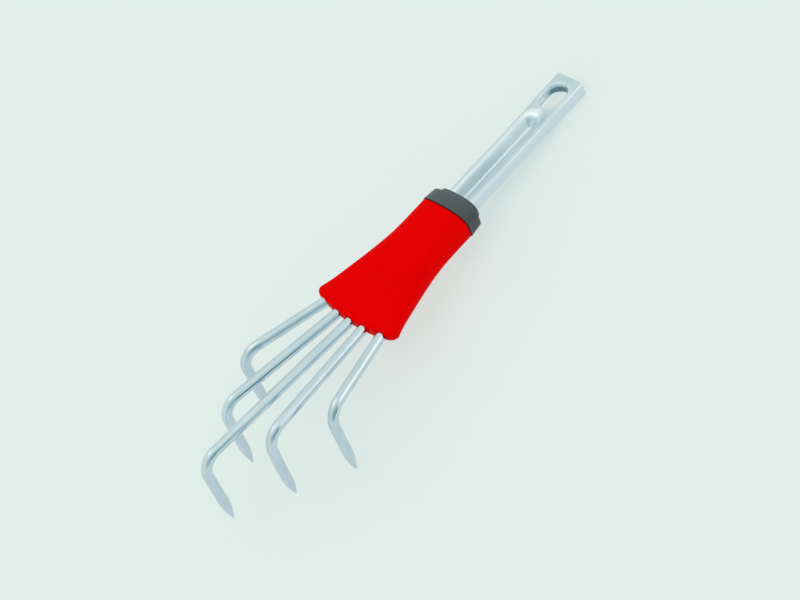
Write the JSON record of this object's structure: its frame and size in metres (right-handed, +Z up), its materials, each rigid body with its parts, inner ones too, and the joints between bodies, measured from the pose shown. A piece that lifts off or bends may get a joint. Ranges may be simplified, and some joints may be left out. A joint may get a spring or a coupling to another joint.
{
  "type": "garden cultivator",
  "caption": "Head of a hand cultivator: bent steel tines fanned out of a flared plastic body, with a grooved pressed steel tongue that pushes into a separate handle.",
  "frame": {"origin": "middle of the bounding box, at the floor the tool stands on", "axes": "+X along the tool from the tines to the tongue, level with the floor; +Y to the left when looking from the tongue to the tines with the claws down; +Z up. The tongue slopes down towards +X, because the tool stands on its outer claws and the tip of its tongue."},
  "size_m": [0.3532, 0.088, 0.0743],
  "materials": {
    "zinc_steel": "bright zinc plated, smooth",
    "red_plastic": "moulded, satin to gloss",
    "grey_plastic": "moulded, satin"
  },
  "bodies": {
    "root": {"tongue": "zinc_steel", "tine_left_outer": "zinc_steel", "tine_left_inner": "zinc_steel", "tine_middle": "zinc_steel", "tine_right_inner": "zinc_steel", "tine_right_outer": "zinc_steel", "body": "red_plastic", "collar": "grey_plastic"}
  },
  "joints": []
}
